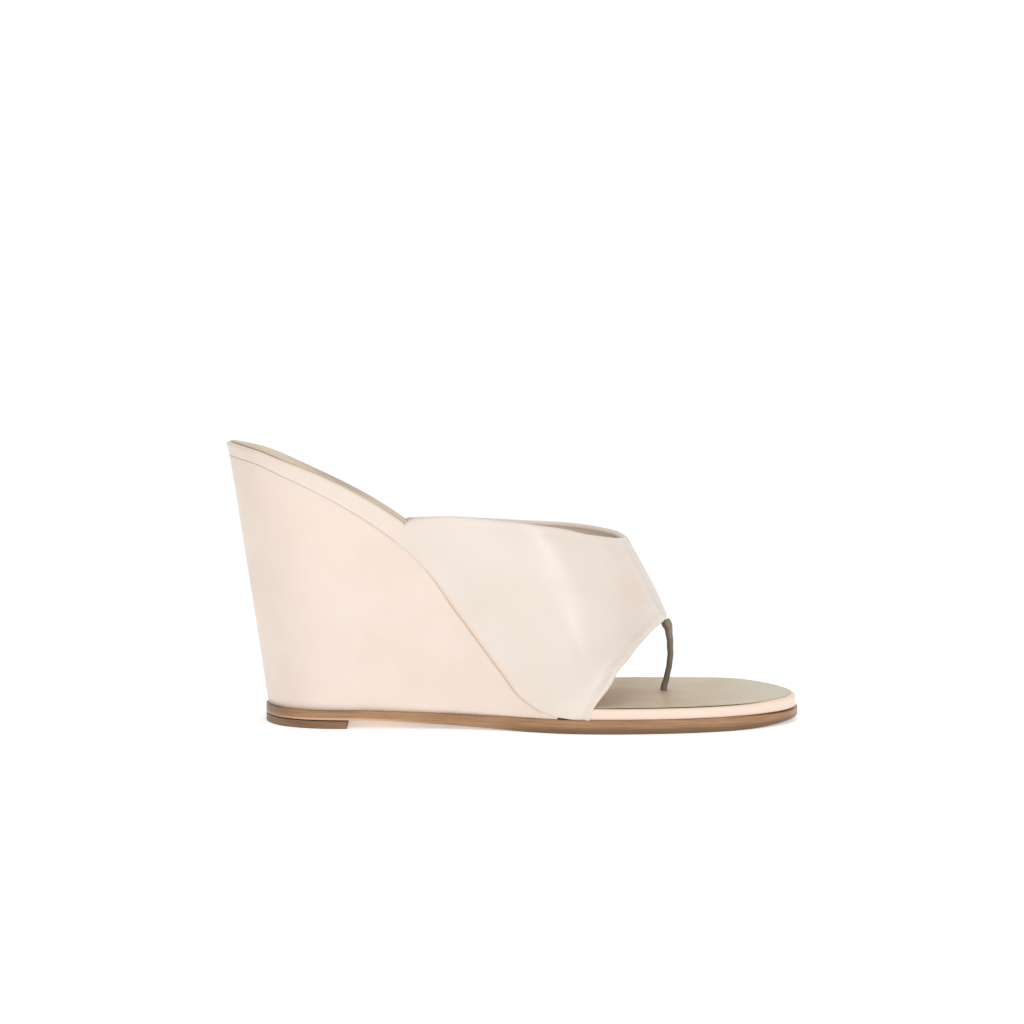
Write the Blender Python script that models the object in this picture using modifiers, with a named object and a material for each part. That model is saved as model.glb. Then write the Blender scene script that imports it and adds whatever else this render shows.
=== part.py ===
# Wedge thong sandal, right shoe: covered wedge, wrapped footbed, padded V strap and toe post.
# X runs from the heel to the toe, Y to the inner side of the foot, Z up from the floor. Metres.

import math

import bmesh
import bpy
from mathutils import Matrix, Vector

# Named sizes of the shoe

SHOE_LENGTH = 0.2082
SEAT_HEIGHT = 0.1010
SEAT_WIDTH = 0.0540
BALL_WIDTH = 0.0765
BACK_LEAN = 0.0150
RIM_LEAN = 0.0010
WEDGE_FOOT_SHARE = 0.92
WEDGE_TIP = 0.00068
OUTSOLE_THICKNESS = 0.0047
OUTSOLE_MARGIN = 0.0007
TOE_SPRING = 0.0020
TOP_LIFT_THICKNESS = 0.0030
TOP_LIFT_LENGTH = 0.0300
FOOTBED_THICKNESS = 0.0040
SEAT_DISH = 0.0008
SOCK_THICKNESS = 0.0008
SOCK_INSET = 0.0016
INSTEP_RISE = 0.0580
STRAP_WALL = 0.0026
STRAP_FULLNESS = 0.0014
HEM_WIDTH = 0.0036
HEM_RAISE = 0.0005
POST_THICKNESS = 0.0026
EDGE_ROUNDING = 0.0009
CLEARANCE = 0.0003

# Footbed along the shoe: share of the length, share of the drop from heel seat to ball,
# and the footbed's thickness as a multiple of its thickness at the toes

FOOTBED_ROWS = [
    # along, drop, thickness
    (0.000, 1.000, 1.22),
    (0.057, 0.968, 1.21),
    (0.108, 0.920, 1.23),
    (0.175, 0.853, 1.32),
    (0.243, 0.775, 1.46),
    (0.303, 0.690, 1.58),
    (0.359, 0.591, 1.76),
    (0.411, 0.459, 1.88),
    (0.480, 0.252, 1.76),
    (0.518, 0.131, 1.48),
    (0.546, 0.063, 1.32),
    (0.573, 0.023, 1.20),
    (0.602, 0.005, 1.08),
    (0.634, 0.000, 1.00),
    (0.880, 0.000, 1.00),
    (1.000, 0.000, 1.00),
]

# Outline seen from above: share of the length, then the outer (lateral) and inner (medial)
# edges as shares of the width there

OUTLINE_ROWS = [
    # along, lateral, medial
    (0.000, 0.000, 0.000),
    (0.010, -0.180, 0.180),
    (0.038, -0.346, 0.346),
    (0.082, -0.456, 0.456),
    (0.134, -0.500, 0.500),
    (0.216, -0.500, 0.489),
    (0.298, -0.485, 0.463),
    (0.375, -0.487, 0.456),
    (0.451, -0.491, 0.453),
    (0.519, -0.486, 0.454),
    (0.581, -0.491, 0.466),
    (0.648, -0.499, 0.486),
    (0.716, -0.489, 0.501),
    (0.783, -0.462, 0.505),
    (0.850, -0.406, 0.502),
    (0.903, -0.330, 0.484),
    (0.941, -0.250, 0.437),
    (0.973, -0.156, 0.324),
    (0.993, -0.050, 0.186),
    (1.000, 0.065, 0.065),
]

# Outsole along the shoe: share of the length, height of its underside as a share of the
# top lift, and its thickness as a share of the thickness at the ball

OUTSOLE_ROWS = [
    # along, lift, thickness
    (0.000, 1.00, 0.68),
    (0.230, 1.00, 0.68),
    (0.360, 0.60, 0.76),
    (0.447, 0.25, 0.87),
    (0.530, 0.00, 1.00),
    (0.600, 0.00, 1.00),
    (0.870, 0.00, 1.00),
    (1.000, 0.00, 0.52),
]

# How far the wedge's side has come out from its foot to its top edge, by height

WEDGE_SIDE_ROWS = [
    # height, reach
    (0.00, 0.00),
    (0.35, 0.34),
    (0.70, 0.69),
    (0.90, 0.89),
    (1.00, 1.00),
]

# Edges of the strap's outer face. Along is a share of the shoe's length, across a share of
# the ball width, rise a share of the instep rise above the footbed

THROAT_LATERAL = [
    # along, across, rise
    (0.302, -0.340, -0.049),
    (0.310, -0.344, 0.020),
    (0.324, -0.352, 0.088),
    (0.348, -0.364, 0.168),
    (0.384, -0.378, 0.305),
    (0.439, -0.383, 0.538),
    (0.519, -0.345, 0.903),
    (0.581, -0.262, 1.044),
    (0.620, -0.190, 1.033),
    (0.655, -0.105, 1.012),
    (0.680, -0.035, 0.998),
]

THROAT_MEDIAL = [
    # along, across, rise
    (0.302, 0.324, -0.049),
    (0.310, 0.328, 0.012),
    (0.324, 0.336, 0.052),
    (0.348, 0.348, 0.124),
    (0.384, 0.362, 0.256),
    (0.439, 0.372, 0.494),
    (0.519, 0.362, 0.877),
    (0.581, 0.320, 1.049),
    (0.622, 0.270, 1.065),
    (0.660, 0.205, 1.049),
    (0.686, 0.135, 1.030),
]

FRONT_LATERAL = [
    # along, across, rise
    (0.628, -0.498, 0.010),
    (0.646, -0.488, 0.100),
    (0.668, -0.442, 0.215),
    (0.689, -0.386, 0.285),
    (0.714, -0.288, 0.370),
    (0.738, -0.157, 0.425),
    (0.755, -0.045, 0.452),
]

FRONT_MEDIAL = [
    # along, across, rise
    (0.620, 0.488, 0.010),
    (0.636, 0.486, 0.105),
    (0.660, 0.467, 0.225),
    (0.688, 0.428, 0.305),
    (0.716, 0.365, 0.385),
    (0.742, 0.275, 0.435),
    (0.763, 0.195, 0.458),
]

RIDGE_ROWS = [
    # along, across, rise
    (0.702, 0.065, 0.995),
    (0.715, 0.070, 0.912),
    (0.733, 0.080, 0.800),
    (0.752, 0.095, 0.680),
    (0.770, 0.110, 0.540),
    (0.776, 0.118, 0.468),
]

STRAP_START_SHARE = 0.294
STRAP_END_LATERAL_SHARE = 0.620
STRAP_END_MEDIAL_SHARE = 0.612
SPRING_START_SHARE = 0.87

# Notches that let the strap's ends down past the footbed

NOTCH_LEAN = 0.00281
NOTCH_FORE_LEAN = 0.00146
NOTCH_RUN = 0.00033
NOTCH_GAP = 0.00025
NOTCH_FORE_GAP = 0.00067

# Toe post from the strap's tip to its root in the footbed: steps forward as a share of
# the thickness, height as a share of the tip's height over the footbed, width

POST_ROWS = [
    # forward, height, width
    (0.00, 1.00, 1.30),
    (0.28, 0.94, 1.45),
    (0.50, 0.86, 1.15),
    (0.70, 0.72, 1.00),
    (0.78, 0.52, 0.92),
    (0.56, 0.32, 0.90),
    (0.16, 0.15, 0.90),
    (-0.14, 0.02, 0.98),
    (-0.20, -0.09, 1.00),
]

# How fine the meshes are

HALF_TURN_STEPS = 9
LENGTH_STEPS = 30
ACROSS_STEPS = 6
PANEL_STEPS = 22
ROW_STEPS = 12
POST_SIDES = 12


def eased(rows, column, at):
    """A column of a table at a place along it, on a curve that never overshoots."""
    spans = list(zip(rows, rows[1:]))
    slopes = [(b[column] - a[column]) / (b[0] - a[0]) for a, b in spans]
    tangents = [slopes[0]]
    for before, after in zip(slopes, slopes[1:]):
        level = before * after <= 0
        tangents.append(0.0 if level else 2 * before * after / (before + after))
    tangents.append(slopes[-1])
    at = min(max(at, rows[0][0]), rows[-1][0])
    index = max(i for i, row in enumerate(rows[:-1]) if row[0] <= at)
    here, there = rows[index], rows[index + 1]
    run = there[0] - here[0]
    t = (at - here[0]) / run
    rise = t * t * (3 - 2 * t)
    start = t * (1 - t) * (1 - t) * run * tangents[index]
    end = t * t * (t - 1) * run * tangents[index + 1]
    return here[column] * (1 - rise) + there[column] * rise + start + end


def ramp(value, low, high):
    """A soft step from 0 at low to 1 at high."""
    t = min(max((value - low) / (high - low), 0.0), 1.0)
    return t * t * (3 - 2 * t)


def smooth_path(points, count):
    """Points evenly spaced along a smooth curve through the given ones."""
    ends = [points[0] * 2 - points[1], *points, points[-1] * 2 - points[-2]]
    fine = []
    for a, b, c, d in zip(ends, ends[1:], ends[2:], ends[3:]):
        for step in range(16):
            t = step / 16
            bend = (c - a) * t + (a * 2 - b * 5 + c * 4 - d) * t * t
            fine.append(b + (bend + (b * 3 - a - c * 3 + d) * t * t * t) / 2)
    fine.append(points[-1])
    walked = [0.0]
    for a, b in zip(fine, fine[1:]):
        walked.append(walked[-1] + (b - a).length)
    spaced = []
    index = 0
    for step in range(count):
        target = walked[-1] * step / (count - 1)
        while index < len(fine) - 2 and walked[index + 1] < target:
            index += 1
        share = (target - walked[index]) / (walked[index + 1] - walked[index])
        spaced.append(fine[index].lerp(fine[index + 1], min(max(share, 0.0), 1.0)))
    return spaced


# Shape of the footbed and its outline

FORE_LEVEL = OUTSOLE_THICKNESS + CLEARANCE + FOOTBED_THICKNESS


def width_at(along):
    return SEAT_WIDTH + (BALL_WIDTH - SEAT_WIDTH) * ramp(along, 0.38, 0.62)


def outline_paths():
    """The outer and the inner edge from heel to toe, as smooth paths of points."""
    lateral = []
    medial = []
    for along, outer, inner in OUTLINE_ROWS:
        lateral.append(Vector((along, outer * width_at(along), 0.0)))
        medial.append(Vector((along, inner * width_at(along), 0.0)))
    wide = [Vector((p.x, p.y / SHOE_LENGTH, 0.0)) for p in lateral]
    deep = [Vector((p.x, p.y / SHOE_LENGTH, 0.0)) for p in medial]
    return smooth_path(wide, 400), smooth_path(deep, 400)


LATERAL_PATH, MEDIAL_PATH = outline_paths()


def edge_at(path, along):
    """Distance of one edge of the outline from the middle line."""
    along = min(max(along, 0.0), 1.0)
    for a, b in zip(path, path[1:]):
        if b.x >= along:
            share = (along - a.x) / max(b.x - a.x, 1e-9)
            return (a.y + (b.y - a.y) * min(max(share, 0.0), 1.0)) * SHOE_LENGTH
    return path[-1].y * SHOE_LENGTH


def path_at(path, index):
    """A point of an edge, mirrored past its ends, where the other edge goes on."""
    last = len(path) - 1
    if 0 <= index <= last:
        return path[index]
    spot = path[-index] if index < 0 else path[2 * last - index]
    end = path[0] if index < 0 else path[last]
    return Vector((spot.x, 2 * end.y - spot.y, 0.0))


def outline_point(path, along, inset):
    """A place on one edge of the outline, moved in towards the middle by the inset."""
    along = min(max(along, 0.0), 1.0)
    index = 0
    while index < len(path) - 2 and path[index + 1].x < along:
        index += 1
    here, there = path[index], path[index + 1]
    share = (along - here.x) / max(there.x - here.x, 1e-9)
    spot = here.lerp(there, min(max(share, 0.0), 1.0)) * SHOE_LENGTH
    heading = (path_at(path, index + 3) - path_at(path, index - 2)).normalized()
    inward = Vector((-heading.y, heading.x, 0.0))
    if path is MEDIAL_PATH:
        inward = -inward
    return spot + inward * inset


def spring(along):
    """Lift of the sole's underside at the toe."""
    past = max(along - SPRING_START_SHARE, 0.0) / (1 - SPRING_START_SHARE)
    return TOE_SPRING * past * past


def footbed_top(along):
    drop = eased(FOOTBED_ROWS, 1, along)
    return FORE_LEVEL + (SEAT_HEIGHT - FORE_LEVEL) * drop


def footbed_under(along):
    step = 0.004
    run = 2 * step * SHOE_LENGTH
    slope = (footbed_top(along + step) - footbed_top(along - step)) / run
    thick = FOOTBED_THICKNESS * eased(FOOTBED_ROWS, 2, along)
    return footbed_top(along) - thick * math.sqrt(1 + slope * slope)


def dish_at(along):
    """Depth of the hollow in the middle of the footbed."""
    return SEAT_DISH * ramp(along, 0.0, 0.09) * (1 - ramp(along, 0.90, 1.0))


def stations(first, last, steps):
    """Places along the shoe, close together where the outline turns round an end."""
    turn_back = 0.13
    turn_fore = 0.13
    places = []
    if first < turn_back:
        for step in range(HALF_TURN_STEPS):
            angle = math.pi / 2 * (step + 0.35) / HALF_TURN_STEPS
            places.append(first + (turn_back - first) * (1 - math.cos(angle)))
        first = turn_back
    end = 1 - turn_fore if last > 1 - turn_fore else last
    for step in range(steps + 1):
        places.append(first + (end - first) * step / steps)
    if last > 1 - turn_fore:
        for step in reversed(range(HALF_TURN_STEPS)):
            angle = math.pi / 2 * (step + 0.35) / HALF_TURN_STEPS
            places.append(1 - turn_fore * (1 - math.cos(angle)))
    return places


# Making objects

def new_material(name, color, roughness, coat):
    material = bpy.data.materials.new(name)
    material.use_nodes = True
    shader = material.node_tree.nodes["Principled BSDF"]
    shader.inputs["Base Color"].default_value = (*color, 1.0)
    shader.inputs["Roughness"].default_value = roughness
    shader.inputs["Coat Weight"].default_value = coat
    return material


def new_object(name, mesh, material):
    obj = bpy.data.objects.new(name, mesh)
    SHOE.objects.link(obj)
    mesh.materials.append(material)
    for polygon in mesh.polygons:
        polygon.use_smooth = True
    return obj


def lofted(name, rings, material):
    """A closed solid from rings of points that all have the same count."""
    mesh = bpy.data.meshes.new(name)
    sides = len(rings[0])
    points = [point for ring in rings for point in ring]
    faces = []
    for row in range(len(rings) - 1):
        for k in range(sides):
            a = row * sides + k
            b = row * sides + (k + 1) % sides
            faces.append((a, b, b + sides, a + sides))
    faces.append(tuple(reversed(range(sides))))
    last = (len(rings) - 1) * sides
    faces.append(tuple(range(last, last + sides)))
    mesh.from_pydata(points, [], faces)
    turn_outward(mesh)
    return new_object(name, mesh, material)


def turn_outward(mesh):
    bm = bmesh.new()
    bm.from_mesh(mesh)
    bmesh.ops.recalc_face_normals(bm, faces=bm.faces)
    bm.to_mesh(mesh)
    bm.free()


def round_edges(obj, width, segments, angle):
    bevel = obj.modifiers.new("rounded_edge", "BEVEL")
    bevel.width = width
    bevel.segments = segments
    bevel.limit_method = "ANGLE"
    bevel.angle_limit = math.radians(angle)
    bevel.use_clamp_overlap = True
    return bevel


def sheet_ring(along, inset, level, thickness):
    """One crossways section of a sheet that follows the dished top of the footbed."""
    lateral = outline_point(LATERAL_PATH, along, inset)
    medial = outline_point(MEDIAL_PATH, along, inset)
    ring = []
    for rise in (level + thickness, level):
        for step in range(ACROSS_STEPS + 1):
            share = step / ACROSS_STEPS
            if rise == level:
                share = 1 - share
            spot = lateral.lerp(medial, share)
            hollow = dish_at(along) * (1 - (2 * share - 1) ** 2)
            ring.append(Vector((spot.x, spot.y, footbed_top(spot.x / SHOE_LENGTH) - hollow + rise)))
    return ring


# Strap: four edges of each panel, and the panel between them

def rise_point(row):
    along, across, rise = row
    x = along * SHOE_LENGTH
    return Vector((x, across * BALL_WIDTH, footbed_top(along) + rise * INSTEP_RISE))


def base_point(path, along):
    """A place where the strap tucks in between the footbed and the wedge."""
    x = along * SHOE_LENGTH
    return Vector((x, edge_at(path, along), footbed_under(along) + CLEARANCE * 0.8))


def panel_edges(path, throat, front, end, columns, rows):
    """Base, ridge, throat and front edges of one panel."""
    steps = [STRAP_START_SHARE + (end - STRAP_START_SHARE) * step / 24 for step in range(25)]
    base = smooth_path([base_point(path, along) for along in steps], rows)
    ridge = smooth_path([rise_point(row) for row in RIDGE_ROWS], rows)
    upper_edge = [base[0], *[rise_point(row) for row in throat], ridge[0]]
    lower_edge = [base[-1], *[rise_point(row) for row in front], ridge[-1]]
    return (
        base,
        ridge,
        smooth_path(upper_edge, columns),
        smooth_path(lower_edge, columns),
    )


def along_path(path, share):
    place = share * (len(path) - 1)
    index = min(int(place), len(path) - 2)
    return path[index].lerp(path[index + 1], place - index)


def panel_points(path, throat, front, end, columns, rows):
    """Grid of one panel: columns from the base to the ridge, rows from throat to front."""
    fine = 121
    edges = panel_edges(path, throat, front, end, columns, fine)
    base, ridge, upper_edge, lower_edge = edges
    corners = (base[0], base[-1], ridge[0], ridge[-1])
    grid = []
    for column in range(columns):
        u = column / (columns - 1)
        reach = (upper_edge[column] - lower_edge[column]).length
        hem = min(HEM_WIDTH / reach, 0.3)
        shares = [(1 - hem) * row / (rows - 3) for row in range(rows - 2)]
        shares += [1 - hem * 0.55, 1.0]
        line = []
        for w in shares:
            across = along_path(base, w) * (1 - u) + along_path(ridge, w) * u
            down = upper_edge[column] * (1 - w) + lower_edge[column] * w
            near = corners[0] * (1 - w) + corners[1] * w
            far = corners[2] * (1 - w) + corners[3] * w
            spot = across + down - near * (1 - u) - far * u
            full = math.sin(math.pi * u**0.6) * (1 - (2 * w - 1) ** 4)
            spot.y += math.copysign(STRAP_FULLNESS, base[0].y) * full
            line.append(spot)
        grid.append(line)
    return grid


def raise_hem(grid):
    """Lifts the rows along the front edge, which make the rolled hem."""
    raised = []
    for column, line in enumerate(grid):
        before = grid[max(column - 1, 0)]
        after = grid[min(column + 1, len(grid) - 1)]
        fresh = list(line)
        for row, share in ((-2, 1.0), (-1, 0.6)):
            along = after[row] - before[row]
            down = line[-1] - line[-3]
            normal = down.cross(along).normalized()
            fresh[row] = line[row] + normal * HEM_RAISE * share
        raised.append(fresh)
    return raised


def strap_grid(columns, rows):
    outer = panel_points(
        LATERAL_PATH, THROAT_LATERAL, FRONT_LATERAL, STRAP_END_LATERAL_SHARE, columns, rows
    )
    inner = panel_points(
        MEDIAL_PATH, THROAT_MEDIAL, FRONT_MEDIAL, STRAP_END_MEDIAL_SHARE, columns, rows
    )
    whole = outer + list(reversed(inner))[1:]
    return whole


def strap_upper(material):
    grid = strap_grid(PANEL_STEPS, ROW_STEPS)
    grid = raise_hem(grid)
    mesh = bpy.data.meshes.new("upper")
    rows = len(grid[0])
    faces = []
    for column in range(len(grid) - 1):
        for row in range(rows - 1):
            a = column * rows + row
            faces.append((a, a + 1, a + rows + 1, a + rows))
    mesh.from_pydata([point for line in grid for point in line], [], faces)
    turn_outward(mesh)
    middle = mesh.polygons[0].normal
    if middle.y > 0:
        mesh.flip_normals()
    obj = new_object("upper", mesh, material)
    wall = obj.modifiers.new("wall", "SOLIDIFY")
    wall.thickness = STRAP_WALL
    wall.offset = -1.0
    wall.use_even_offset = True
    wall.use_rim = True
    round_edges(obj, EDGE_ROUNDING * 0.9, 2, 55)
    return obj


# Sole pieces

def strap_inset(along, end):
    """How far the footbed's edge stands in behind the strap."""
    start = STRAP_START_SHARE - NOTCH_GAP / SHOE_LENGTH
    stop = end + NOTCH_FORE_GAP / SHOE_LENGTH
    run = NOTCH_RUN / SHOE_LENGTH
    ends = ramp(along, start - run, start) * (1 - ramp(along, stop, stop + run))
    return (STRAP_WALL + CLEARANCE * 3) * ends


def top_place(along):
    """Where the top of a section stands: it leans forward where the strap's ends do."""
    back = NOTCH_LEAN * math.exp(-(((along - STRAP_START_SHARE) / 0.05) ** 2))
    fore = NOTCH_FORE_LEAN * math.exp(-(((along - STRAP_END_LATERAL_SHARE) / 0.04) ** 2))
    return along + (back + fore) / SHOE_LENGTH


def notched_stations():
    """Stations of the footbed with extra ones where the strap starts and ends."""
    run = NOTCH_RUN / SHOE_LENGTH
    start = STRAP_START_SHARE - NOTCH_GAP / SHOE_LENGTH
    notches = [start - run, start]
    for place in (STRAP_END_MEDIAL_SHARE, STRAP_END_LATERAL_SHARE):
        stop = place + NOTCH_FORE_GAP / SHOE_LENGTH
        notches += [stop, stop + run]
    near = [
        place
        for place in stations(0.0, 1.0, LENGTH_STEPS)
        if min(abs(place - notch) for notch in notches) > 0.006
    ]
    return sorted(near + notches)


def footbed_loft(material):
    rings = []
    sides = ((LATERAL_PATH, STRAP_END_LATERAL_SHARE), (MEDIAL_PATH, STRAP_END_MEDIAL_SHARE))
    for along in notched_stations():
        lean = RIM_LEAN * (1 - ramp(along, 0.0, 0.5))
        high = top_place(along)
        tops = []
        feet = []
        for path, end in sides:
            step = inward_step(path, strap_inset(along, end))
            tops.append(outline_point(path, high, 0.0) + step)
            feet.append(outline_point(path, along, 0.0) + step)
        ring = []
        for step in range(ACROSS_STEPS + 1):
            share = step / ACROSS_STEPS
            spot = tops[0].lerp(tops[1], share)
            hollow = dish_at(high) * (1 - (2 * share - 1) ** 2)
            ring.append(Vector((spot.x, spot.y, footbed_top(high) - hollow)))
        for foot in reversed(feet):
            ring.append(Vector((foot.x + lean, foot.y, footbed_under(along))))
        rings.append(ring)
    return lofted("footbed", rings, material)


def inward_step(path, distance):
    """A step across the shoe towards its middle line."""
    return Vector((0.0, -distance if path is MEDIAL_PATH else distance, 0.0))


def sock_loft(material):
    rings = []
    for along in notched_stations():
        inset = SOCK_INSET + strap_inset(along, STRAP_END_LATERAL_SHARE)
        rings.append(sheet_ring(top_place(along), inset, CLEARANCE, SOCK_THICKNESS))
    return lofted("sock", rings, material)


def outsole_top(x):
    along = x / SHOE_LENGTH
    lift = TOP_LIFT_THICKNESS * eased(OUTSOLE_ROWS, 1, along)
    return lift + OUTSOLE_THICKNESS * eased(OUTSOLE_ROWS, 2, along) + spring(along)


def outsole_under(x):
    along = x / SHOE_LENGTH
    return TOP_LIFT_THICKNESS * eased(OUTSOLE_ROWS, 1, along) + spring(along)


def room_for_wedge(along):
    """Height between the outsole and the footbed, less the clearances."""
    top = footbed_under(along) - CLEARANCE * 1.3
    return top - outsole_top(along * SHOE_LENGTH) - CLEARANCE


def wedge_reach():
    """How far forward the wedge runs: to where it is as thin as its tip."""
    thick, thin = 0.3, 0.7
    for step in range(40):
        middle = (thick + thin) / 2
        if room_for_wedge(middle) > WEDGE_TIP:
            thick = middle
        else:
            thin = middle
    return thick * SHOE_LENGTH


WEDGE_REACH = wedge_reach()


def wedge_foot(along):
    """Where the side of the wedge above a place meets the outsole: along and width share."""
    reach = WEDGE_REACH / SHOE_LENGTH
    left = max(1 - along / reach, 0.0)
    x = along * SHOE_LENGTH + BACK_LEAN * left
    return x, 1 - (1 - WEDGE_FOOT_SHARE) * ramp(left, 0.0, 0.8)


def wedge_loft(material):
    rings = []
    last = WEDGE_REACH / SHOE_LENGTH
    for along in stations(0.0, last, 22):
        lean = RIM_LEAN * (1 - ramp(along, 0.0, 0.5))
        x_top = along * SHOE_LENGTH + lean
        x_foot, width = wedge_foot(along)
        top = footbed_under(along) - CLEARANCE * 1.3
        foot = outsole_top(x_foot) + CLEARANCE
        ring = []
        for path, rows in ((LATERAL_PATH, WEDGE_SIDE_ROWS), (MEDIAL_PATH, None)):
            rows = rows or list(reversed(WEDGE_SIDE_ROWS))
            edge = edge_at(path, along)
            for height, reach in rows:
                x = x_foot + (x_top - x_foot) * reach
                y = edge * (width + (1 - width) * reach)
                ring.append(Vector((x, y, foot + (top - foot) * height)))
        rings.append(ring)
    obj = lofted("wedge", rings, material)
    round_edges(obj, EDGE_ROUNDING * 0.5, 1, 50)
    return obj


def sole_station(place):
    """Place and edges of the outsole: under the wedge's foot, then under the footbed."""
    x, width = wedge_foot(place)
    return x, edge_at(LATERAL_PATH, place) * width, edge_at(MEDIAL_PATH, place) * width


def outsole_ring(place, top, under):
    """One crossways section a margin outside the wedge's foot and the footbed."""
    x, lateral, medial = sole_station(place)
    heel = BACK_LEAN
    stretch = 1 + 2 * OUTSOLE_MARGIN / (SHOE_LENGTH - heel)
    wide = heel + (x - heel) * stretch - OUTSOLE_MARGIN
    middle = (lateral + medial) / 2
    half = (medial - lateral) / 2
    grow = half + OUTSOLE_MARGIN * min(half / (SEAT_WIDTH * 0.3), 1.0)
    return [
        Vector((wide, middle - grow, top(x))),
        Vector((wide, middle + grow, top(x))),
        Vector((wide, middle + grow, under(x))),
        Vector((wide, middle - grow, under(x))),
    ]


def outsole_loft(material):
    places = stations(0.0, 1.0, LENGTH_STEPS)
    rings = [outsole_ring(place, outsole_top, outsole_under) for place in places]
    obj = lofted("outsole", rings, material)
    round_edges(obj, EDGE_ROUNDING * 0.5, 1, 50)
    return obj


def top_lift_loft(material):
    """The block under the heel, cut square at its front."""
    reach = TOP_LIFT_LENGTH / (WEDGE_REACH - BACK_LEAN) * (WEDGE_REACH / SHOE_LENGTH)
    places = stations(0.0, reach, 4)
    high = TOP_LIFT_THICKNESS - CLEARANCE
    rings = [outsole_ring(place, lambda x: high, lambda x: 0.0) for place in places]
    return lofted("top_lift", rings, material)


# Toe post

def post_centre():
    """Middle of the strap's wall at its tip, a clearance below the edge."""
    tip = rise_point(RIDGE_ROWS[-1])
    before = rise_point(RIDGE_ROWS[-2])
    down = (tip - before).normalized()
    inward = Vector((-abs(down.z), 0.0, -abs(down.x))).normalized()
    return tip + inward * STRAP_WALL * 0.5 + down * (CLEARANCE * 1.5), down


def post_loft(material):
    top, down = post_centre()
    along = top.x / SHOE_LENGTH
    floor = footbed_top(along)
    tall = top.z - floor
    path = []
    for forward, height, width in POST_ROWS:
        x = top.x + forward * POST_THICKNESS
        path.append((Vector((x, top.y, floor + height * tall)), width))
    rings = []
    for index, (point, width) in enumerate(path):
        before = path[max(index - 1, 0)][0]
        after = path[min(index + 1, len(path) - 1)][0]
        heading = (after - before).normalized()
        if index == 0:
            heading = down
        if index == len(path) - 1:
            heading = Vector((0.0, 0.0, -1.0))
        side = Vector((0.0, 1.0, 0.0))
        fore = side.cross(heading).normalized()
        radius = POST_THICKNESS / 2 * width
        ring = []
        for k in range(POST_SIDES):
            angle = 2 * math.pi * k / POST_SIDES
            spot = fore * math.cos(angle) * radius + side * math.sin(angle) * radius
            ring.append(point + spot)
        rings.append(ring)
    return lofted("toe_post", rings, material), path[-1][0]


def post_hole(root, depth):
    """The hole that the toe post goes down through."""
    mesh = bpy.data.meshes.new("post_hole")
    bm = bmesh.new()
    bmesh.ops.create_cone(
        bm,
        cap_ends=True,
        segments=POST_SIDES * 2,
        radius1=POST_THICKNESS / 2 + CLEARANCE * 1.4,
        radius2=POST_THICKNESS / 2 + CLEARANCE * 1.4,
        depth=depth,
        matrix=Matrix.Translation(root),
    )
    bm.to_mesh(mesh)
    bm.free()
    obj = bpy.data.objects.new("post_hole", mesh)
    CUTTERS.objects.link(obj)
    obj.hide_render = True
    obj.display_type = "WIRE"
    return obj


def cut(obj, cutter):
    hole = obj.modifiers.new("hole", "BOOLEAN")
    hole.operation = "DIFFERENCE"
    hole.solver = "EXACT"
    hole.object = cutter


for old in list(bpy.data.objects):
    bpy.data.objects.remove(old, do_unlink=True)

SHOE = bpy.data.collections.new("wedge_sandal")
bpy.context.scene.collection.children.link(SHOE)
CUTTERS = bpy.data.collections.new("cutters")
bpy.context.scene.collection.children.link(CUTTERS)

CREAM = new_material("cream_leather", (0.86, 0.76, 0.67), 0.42, 0.1)
STRAP = new_material("strap_leather", (0.86, 0.77, 0.69), 0.38, 0.15)
TAUPE = new_material("sock_leather", (0.46, 0.36, 0.27), 0.5, 0.05)
TAN = new_material("sole_leather", (0.40, 0.22, 0.12), 0.5, 0.1)
BROWN = new_material("top_lift_rubber", (0.16, 0.08, 0.04), 0.6, 0.0)
DARK = new_material("thong_leather", (0.10, 0.08, 0.06), 0.5, 0.0)

wedge_loft(CREAM)
footbed = footbed_loft(CREAM)
sock = sock_loft(TAUPE)
outsole_loft(TAN)
top_lift_loft(BROWN)
strap_upper(STRAP)
post, root = post_loft(DARK)
hole = post_hole(Vector((root.x, root.y, root.z + 0.006)), 0.016)
cut(footbed, hole)
cut(sock, hole)
round_edges(footbed, EDGE_ROUNDING, 2, 50)


def centre_on_floor():
    """Puts the middle of the whole shoe's footprint at the origin."""
    lows = [min(v.co.x for v in obj.data.vertices) for obj in SHOE.objects]
    highs = [max(v.co.x for v in obj.data.vertices) for obj in SHOE.objects]
    rights = [min(v.co.y for v in obj.data.vertices) for obj in SHOE.objects]
    lefts = [max(v.co.y for v in obj.data.vertices) for obj in SHOE.objects]
    shift = Vector((-(min(lows) + max(highs)) / 2, -(min(rights) + max(lefts)) / 2, 0.0))
    for obj in list(SHOE.objects) + list(CUTTERS.objects):
        obj.data.transform(Matrix.Translation(shift))


centre_on_floor()
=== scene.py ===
# Wedge thong sandal, right shoe, dressed: covered wedge, wrapped footbed, padded V strap, toe post.
# X runs from the heel to the toe, Y to the inner side of the foot, Z up from the floor. Metres.

import math

import bmesh
import bpy
from mathutils import Matrix, Vector


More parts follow.
